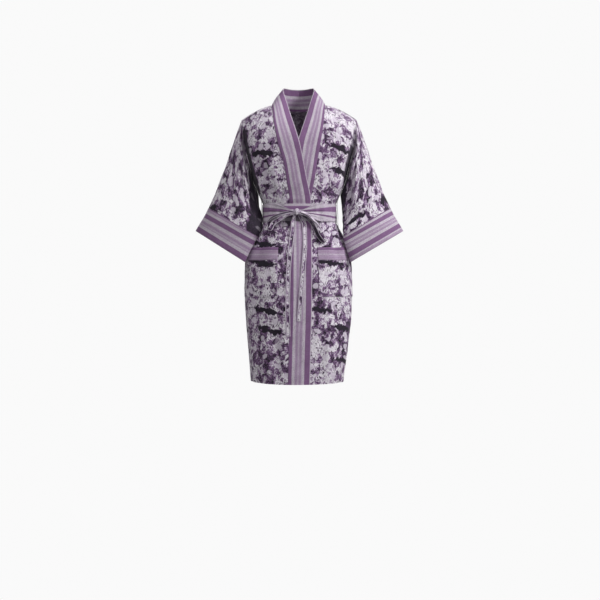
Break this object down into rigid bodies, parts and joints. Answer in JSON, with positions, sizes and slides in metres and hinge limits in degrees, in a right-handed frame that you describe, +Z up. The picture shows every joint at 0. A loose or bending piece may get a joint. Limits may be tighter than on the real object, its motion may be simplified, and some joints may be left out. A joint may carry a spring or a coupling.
{
  "type": "kimono",
  "caption": "Short wrapped kimono robe, worn and hollow, with wide open sleeves, striped neck band, cuffs, pocket bands and sash, tied in front with a narrow ribbon bow.",
  "frame": {"origin": "the middle of the shoulder line, level with the neck ends of the shoulder seams, where the wearer's shoulders hold the garment", "axes": "+Z up along the body, the front faces -Y, +X towards the wearer's left sleeve"},
  "size_m": [0.6536, 0.2598, 0.9328],
  "materials": {
    "print_cloth": "matte plain weave with a mottled purple, white and black print",
    "striped_cloth": "matte plain weave in purple and pale lilac stripes",
    "print_ribbon": "narrow folded ribbon of the print cloth"
  },
  "bodies": {
    "root": {"back_panel": "print_cloth", "front_panel_right": "print_cloth", "front_panel_left": "print_cloth", "sleeve_right": "print_cloth", "sleeve_left": "print_cloth", "cuff_band_right": "striped_cloth", "cuff_band_left": "striped_cloth", "neck_band_right": "striped_cloth", "neck_band_left": "striped_cloth", "pocket_right": "print_cloth", "pocket_left": "print_cloth", "pocket_band_right": "striped_cloth", "pocket_band_left": "striped_cloth", "sash": "striped_cloth", "sash_underlap": "striped_cloth", "belt_loop_right": "striped_cloth", "belt_loop_left": "striped_cloth", "bow_knot": "print_ribbon", "bow_loop_right": "print_ribbon", "bow_loop_left": "print_ribbon", "tie_tail_right": "print_ribbon", "tie_tail_left": "print_ribbon"}
  },
  "joints": []
}
